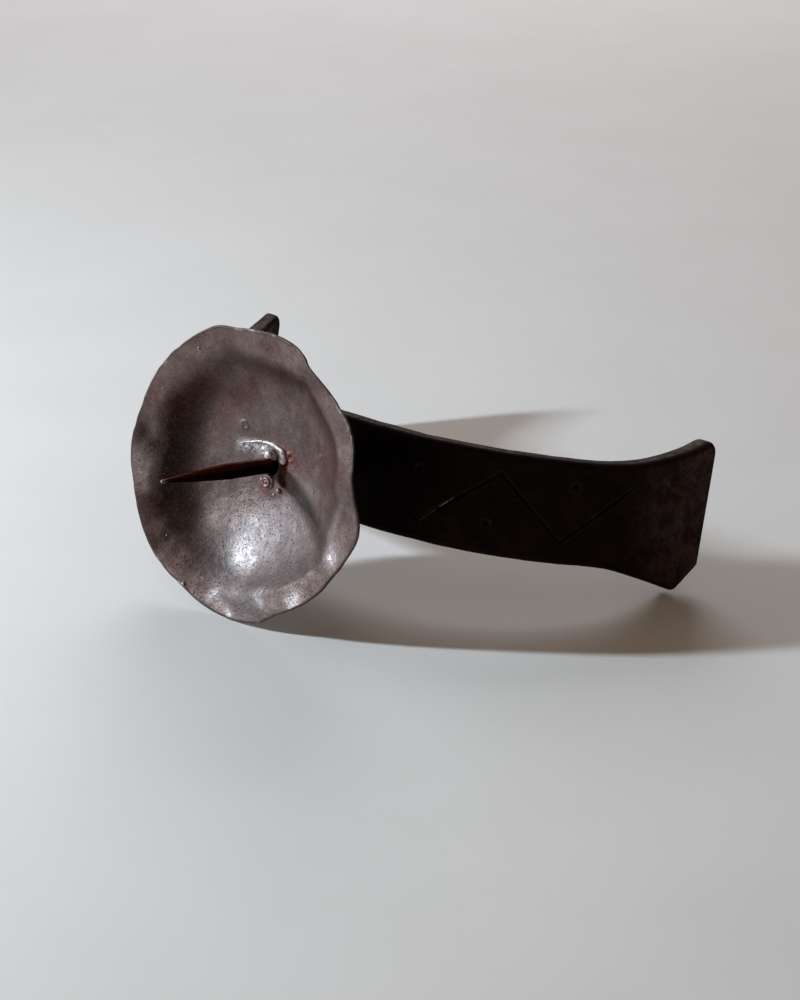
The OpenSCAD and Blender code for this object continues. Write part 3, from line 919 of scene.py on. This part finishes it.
class Shade:
    """Short calls that build a material's nodes, with places and sizes in millimetres."""

    def __init__(self, name):
        self.material = bpy.data.materials.new(name)
        self.material.use_nodes = True
        self.nodes = self.material.node_tree.nodes
        self.links = self.material.node_tree.links
        self.shader = self.nodes["Principled BSDF"]
        metres = self.node("ShaderNodeTexCoord", {}).outputs["Object"]
        scaled = self.node("ShaderNodeMapping", {"Vector": metres, "Scale": (1 / MM,) * 3})
        self.place = scaled.outputs["Vector"]

    def set(self, socket, value):
        if isinstance(value, bpy.types.NodeSocket):
            self.links.new(value, socket)
        else:
            socket.default_value = value

    def node(self, kind, inputs):
        """A new node with its inputs set or linked."""
        node = self.nodes.new(kind)
        for name, value in inputs.items():
            self.set(node.inputs[name], value)
        return node

    def noise(self, cell, detail=3.0, rough=0.55, warp=0.0, squeeze=(1, 1, 1)):
        squeezed = self.node("ShaderNodeVectorMath", {0: self.place, 1: squeeze})
        squeezed.operation = "MULTIPLY"
        node = self.node("ShaderNodeTexNoise", {
            "Vector": squeezed.outputs["Vector"], "Scale": 1 / cell, "Detail": detail,
            "Roughness": rough, "Distortion": warp})
        return node.outputs["Fac"]

    def cells(self, cell):
        node = self.node("ShaderNodeTexVoronoi", {"Vector": self.place, "Scale": 1 / cell})
        return node.outputs["Distance"]

    def mark(self, name):
        node = self.node("ShaderNodeAttribute", {})
        node.attribute_name = name
        return node.outputs["Fac"]

    def ramp(self, value, low, high, to_low=0.0, to_high=1.0):
        node = self.node("ShaderNodeMapRange", {
            "Value": value, "From Min": low, "From Max": high, "To Min": to_low, "To Max": to_high})
        node.interpolation_type = "SMOOTHSTEP"
        return node.outputs["Result"]

    def math(self, operation, a, b):
        node = self.node("ShaderNodeMath", {0: a, 1: b})
        node.operation = operation
        return node.outputs["Value"]

    def times(self, a, b):
        return self.math("MULTIPLY", a, b)

    def minus(self, a, b):
        return self.math("SUBTRACT", a, b)

    def mix(self, share, a, b):
        node = self.node("ShaderNodeMix", {})
        node.data_type = "RGBA"
        for name, value in (("Factor", share), ("A", a), ("B", b)):
            self.set(node.inputs[name], (*value, 1) if isinstance(value, tuple) else value)
        return node.outputs["Result"]

    def bump(self, height, depth, below=None):
        """Bump whose full height stands for depth millimetres, over another one if that is given."""
        inputs = {"Strength": 1, "Distance": depth * MM, "Height": height}
        if below:
            inputs["Normal"] = below
        return self.node("ShaderNodeBump", inputs).outputs["Normal"]

    def finish(self, colour, rough, normal, metallic):
        values = {"Base Color": colour, "Roughness": rough, "Normal": normal, "Metallic": metallic}
        for name, value in values.items():
            self.set(self.shader.inputs[name], value)
        return self.material


def pan_material():
    """Hammered steel under a thin brown patina, pitted, sooty and rubbed, with painted shade and
    highlights.
    """
    s = Shade("pan_iron")
    clouds = s.ramp(s.noise(13, 4, 0.6), 0.35, 0.66)
    colour = s.mix(clouds, PAN_DARK, PAN_MID)
    mottle = s.ramp(s.noise(3.2, 5, 0.65), 0.42, 0.75)
    colour = s.mix(s.times(mottle, 0.35), colour, PAN_PALE)
    sand = s.ramp(s.noise(0.5, 2, 0.6), 0.4, 0.62)
    colour = s.mix(s.times(sand, 0.3), colour, PAN_PALE)
    # Painted shade: grey darkening that dims the sheen of the lower bowl
    grey_shade = s.times(s.mark("grey_shade"), s.ramp(s.noise(4.5, 6, 0.7, 0.8), 0.34, 0.62, 0.45, 0.85))
    colour = s.mix(grey_shade, colour, GREY_SHADE_STEEL)
    # Olive smoke, partly painted shade on the left of the pan
    smoke_and_shade = s.times(s.mark("smoke_and_shade"), s.ramp(s.noise(2.6, 6, 0.75, 0.6), 0.36, 0.62, 0.4, 0.95))
    colour = s.mix(smoke_and_shade, colour, SMOKE_AND_SHADE_OLIVE)
    # Soot, partly painted shade in the fold and on the left of the pan
    soot_and_shade = s.times(s.mark("soot_and_shade"), s.ramp(s.noise(3.2, 5, 0.7), 0.3, 0.55, 0.7, 1.0))
    soot_and_shade = s.times(soot_and_shade, s.ramp(sand, 0, 1, 1.0, 0.88))
    colour = s.mix(soot_and_shade, colour, SOOT_AND_SHADE_BROWN)
    # Rubbed metal, made pale where the highlights lie: partly painted highlight
    rubbed_and_highlight = s.times(s.mark("rubbed_and_highlight"), s.ramp(s.noise(2.4, 7, 0.8, 1.2), 0.34, 0.64, 0.3, 1.0))
    colour = s.mix(s.times(rubbed_and_highlight, 0.62), colour, RUBBED_HIGHLIGHT_STEEL)
    pits = s.ramp(s.noise(0.55, 4, 0.7), 0.58, 0.7)
    dots = s.times(s.ramp(s.cells(0.95), 0.08, 0.2, 1, 0), s.ramp(s.noise(1.8, 3, 0.6), 0.48, 0.6))
    pits = s.times(s.math("MAXIMUM", pits, dots), s.minus(1, s.times(rubbed_and_highlight, 0.6)))
    colour = s.mix(s.times(pits, 0.65), colour, PIT_AND_SHADE_BROWN)
    # Dark pits, and painted shade in the groove by the root
    dark_and_shade = s.times(s.mark("dark_and_shade"), s.ramp(s.noise(1.2, 4, 0.7), 0.34, 0.55, 0.6, 1.0))
    colour = s.mix(dark_and_shade, colour, PIT_AND_SHADE_BROWN)
    rust = s.times(s.mark("rust"), s.ramp(s.noise(0.9, 5, 0.75), 0.4, 0.62))
    colour = s.mix(rust, colour, RUST_RED)
    specks = s.ramp(s.cells(1.7), 0.0, 0.12, 1, 0)
    specks = s.times(specks, s.ramp(s.noise(2.6, 3, 0.6), 0.54, 0.64))
    colour = s.mix(s.times(s.mark("edge"), 0.8), colour, RIM_BROWN)
    edge = s.times(s.mark("edge"), s.ramp(s.noise(7, 3, 0.6), 0.54, 0.7, 0, 0.3))
    bare_and_glints = s.times(s.mark("bare_and_glints"), s.ramp(s.noise(0.9, 4, 0.7), 0.4, 0.55))
    bare_and_glints = s.math("MAXIMUM", s.math("MAXIMUM", bare_and_glints, edge), s.times(specks, 0.6))
    colour = s.mix(bare_and_glints, colour, BARE_STEEL)
    rough = s.ramp(s.noise(5.5, 5, 0.65), 0.3, 0.7, 0.46, 0.58)
    rough = s.math("ADD", rough, s.times(soot_and_shade, 0.15))
    rough = s.minus(rough, s.times(rubbed_and_highlight, 0.2))
    rough = s.minus(rough, s.times(bare_and_glints, 0.12))
    grain = s.bump(s.noise(0.5, 4, 0.65, 0.6), 0.05)
    grain = s.bump(s.noise(2.2, 4, 0.6, 1.0), 0.14, grain)
    metal = s.math("ADD", s.times(rubbed_and_highlight, 0.3), 0.62)
    metal = s.times(metal, s.minus(1, s.times(dark_and_shade, 0.9)))
    dull = s.minus(0.4, s.times(s.math("MAXIMUM", soot_and_shade, dark_and_shade), 0.36))
    s.set(s.shader.inputs["Specular IOR Level"], dull)
    return s.finish(colour, rough, s.bump(s.minus(1, pits), 0.08, grain), metal)


def scale_material(name, rust_share, worn_share, rust_even=0.0):
    """Blackened forge scale, rubbed grey on its edges, and brown or rusty where it is marked, with painted
    shade and glints at cuts.
    """
    s = Shade(name)
    clouds = s.ramp(s.noise(9, 5, 0.65), 0.38, 0.68)
    colour = s.mix(clouds, SCALE_BLACK, SCALE_BROWN)
    rust = s.times(s.mark("rust"), s.ramp(s.noise(5, 5, 0.7, 0.8), 0.4, 0.64, rust_even))
    streaks = s.ramp(s.noise(1.8, 7, 0.8, 2.2, (1, 1, 0.45)), 0.38, 0.68, 0.25, 1)
    smears = s.ramp(s.noise(8, 5, 0.7, 1.0), 0.38, 0.6, 0.15, 1)
    brushed = s.times(s.mark("rust"), s.times(streaks, smears))
    colour = s.mix(s.times(brushed, 1 - rust_share), colour, FOOT_BROWN)
    dry = s.ramp(s.noise(0.9, 6, 0.75, 0.4, (0.16, 0.16, 1)), 0.52, 0.7, 0, 0.3)
    colour = s.mix(dry, colour, DRY_BROWN)
    colour = s.mix(s.times(rust, rust_share), colour, RUST_RED)
    worn = s.times(s.mark("edge"), s.ramp(s.noise(6, 4, 0.6), 0.3, 0.7, 0.35, 1))
    colour = s.mix(s.times(worn, worn_share), colour, WORN_GREY)
    # Painted shade in the cut marks, then bare steel and painted glints
    colour = s.mix(s.mark("dark_and_shade"), colour, darker(SCALE_BLACK, 0.4))
    colour = s.mix(s.mark("bare_and_glints"), colour, BARE_STEEL)
    rough = s.ramp(s.noise(2.4, 5, 0.7), 0.3, 0.7, 0.38, 0.62)
    grain = s.bump(s.noise(0.6, 4, 0.6), 0.05)
    grain = s.bump(s.noise(2.6, 3, 0.5), 0.12, grain)
    s.set(s.shader.inputs["Specular IOR Level"], 0.3)
    s.set(s.shader.inputs["Specular Tint"], GLEAM_DULL)
    return s.finish(colour, rough, grain, 0.9)


def weld_material():
    """Shiny weld metal, rusty and bare in patches."""
    s = Shade("weld_metal")
    colour = s.mix(s.ramp(s.noise(1.3, 4, 0.6), 0.4, 0.65), WELD_GREY, darker(WELD_GREY, 0.5))
    rust = s.times(s.mark("rust"), s.ramp(s.noise(1.1, 4, 0.7), 0.4, 0.6))
    colour = s.mix(rust, colour, RUST_RED)
    bare_and_glints = s.times(s.mark("bare_and_glints"), s.ramp(s.noise(0.7, 4, 0.7), 0.38, 0.55))
    colour = s.mix(bare_and_glints, colour, BARE_STEEL)
    rough = s.ramp(s.noise(1, 3), 0.35, 0.65, 0.36, 0.54)
    return s.finish(colour, rough, s.bump(s.noise(0.5, 4, 0.7), 0.1), 0.7)


def floor_material():
    """Pale matt board with a very faint tooth."""
    s = Shade("pale_board")
    colour = s.mix(s.ramp(s.noise(60, 3), 0.35, 0.65), BOARD_DIM, BOARD_PALE)
    s.set(s.shader.inputs["Specular IOR Level"], 0.25)
    rough = s.ramp(s.noise(2, 3), 0.3, 0.7, 0.72, 0.8)
    return s.finish(colour, rough, s.bump(s.noise(0.8, 3), 0.02), 0)


# Scene, in metres and degrees: azimuths turn from the near side to the right

FLOOR_SIZE = 12.0
KEY_AZIMUTH = -44.7
KEY_ELEVATION = 26.2
KEY_DISTANCE = 0.8
KEY_WIDTH = 0.035
KEY_HEIGHT = 0.09
KEY_POWER = 8.77
KEY_COLOUR = (0.812, 0.921, 1.0)
# Soft light on the far part of the board
BACK_AT = (-0.95, 1.1, 0.9)
BACK_TOWARD = (-0.55, 0.65, 0)
BACK_SIZE = 0.9
BACK_POWER = 11.2
BACK_COLOUR = (0.92, 0.955, 1.0)
# Room: its colour, the way to its bright side, how far round it dims, and its levels
ROOM_COLOUR = (1.0, 0.76, 0.575)
ROOM_BRIGHT_WAY = (-0.5, 0.75, 0.43)
ROOM_FROM = -0.9
ROOM_TO = 0.95
ROOM_DIM = 0.068
ROOM_BRIGHT = 0.306
# Camera: where it stands, the way it looks back along, its focal length in pixels
CAMERA_AT = (0.4125, -0.44574, 0.28336)
CAMERA_AZIMUTH = 40.92
CAMERA_ELEVATION = 23.33
FOCAL_PIXELS = 2300
PICTURE_LONG_SIDE = 1000
SENSOR_WIDTH = 36
CLIP_NEAR = 0.02
CLIP_FAR = 20


def way_at(azimuth, elevation):
    """Unit vector from the middle of the scene."""
    azimuth, elevation = math.radians(azimuth), math.radians(elevation)
    level = math.cos(elevation)
    return Vector((math.sin(azimuth) * level, -math.cos(azimuth) * level, math.sin(elevation)))


def floor():
    half = FLOOR_SIZE / 2
    mesh = bpy.data.meshes.new("floor")
    corners = [(-half, -half, 0), (half, -half, 0), (half, half, 0), (-half, half, 0)]
    mesh.from_pydata(corners, [], [(0, 1, 2, 3)])
    mesh.materials.append(floor_material())
    add_object("floor", mesh)


def aim(thing, place, back):
    """Put a light or the camera at a place, with its back turned to the way back."""
    thing.location = place
    thing.rotation_mode = "QUATERNION"
    thing.rotation_quaternion = back.to_track_quat("Z", "Y")


def area_light(name, place, toward, width, height, power, colour):
    lamp = bpy.data.lights.new(name, "AREA")
    lamp.shape = "RECTANGLE"
    lamp.size = width
    lamp.size_y = height
    lamp.energy = power
    lamp.color = colour
    aim(add_object(name, lamp), place, Vector(place) - Vector(toward))


def key_light():
    """Tall narrow window light from the left."""
    place = KEY_DISTANCE * way_at(KEY_AZIMUTH, KEY_ELEVATION)
    area_light("key", place, (0, 0, 0), KEY_WIDTH, KEY_HEIGHT, KEY_POWER, KEY_COLOUR)


def back_light():
    area_light("back", BACK_AT, BACK_TOWARD, BACK_SIZE, BACK_SIZE, BACK_POWER, BACK_COLOUR)


def surroundings():
    """Soft room light that dims from the bright side of the room to the other."""
    world = bpy.data.worlds.new("room")
    world.use_nodes = True
    bpy.context.scene.world = world
    nodes, links = world.node_tree.nodes, world.node_tree.links
    coordinates = nodes.new("ShaderNodeTexCoord")
    toward = nodes.new("ShaderNodeVectorMath")
    toward.operation = "DOT_PRODUCT"
    toward.inputs[1].default_value = ROOM_BRIGHT_WAY
    links.new(coordinates.outputs["Generated"], toward.inputs[0])
    level = nodes.new("ShaderNodeMapRange")
    level.inputs["From Min"].default_value = ROOM_FROM
    level.inputs["From Max"].default_value = ROOM_TO
    level.inputs["To Min"].default_value = ROOM_DIM
    level.inputs["To Max"].default_value = ROOM_BRIGHT
    links.new(toward.outputs["Value"], level.inputs["Value"])
    background = nodes["Background"]
    background.inputs["Color"].default_value = (*ROOM_COLOUR, 1)
    links.new(level.outputs["Result"], background.inputs["Strength"])


def camera():
    data = bpy.data.cameras.new("camera")
    data.sensor_fit = "AUTO"
    data.sensor_width = SENSOR_WIDTH
    data.lens = FOCAL_PIXELS / PICTURE_LONG_SIDE * SENSOR_WIDTH
    data.clip_start = CLIP_NEAR
    data.clip_end = CLIP_FAR
    bpy.context.scene.camera = add_object("camera", data)
    aim(bpy.context.scene.camera, CAMERA_AT, way_at(CAMERA_AZIMUTH, CAMERA_ELEVATION))


def main():
    pan_iron = pan_material()
    strap_iron = scale_material("strap_iron", rust_share=0.13, worn_share=0.16)
    pricket_iron = scale_material("pricket_iron", rust_share=0.85, worn_share=0.15, rust_even=0.6)
    weld = weld_material()
    inner = pan_face()
    drip_pan(inner, pan_iron)
    arch_strap(strap_iron)
    pricket(pricket_iron)
    weld_tacks(weld)
    weld_lip(inner, weld)
    spatter(inner, weld)
    floor()
    key_light()
    back_light()
    surroundings()
    camera()
    bpy.context.scene.view_settings.view_transform = "Standard"


main()
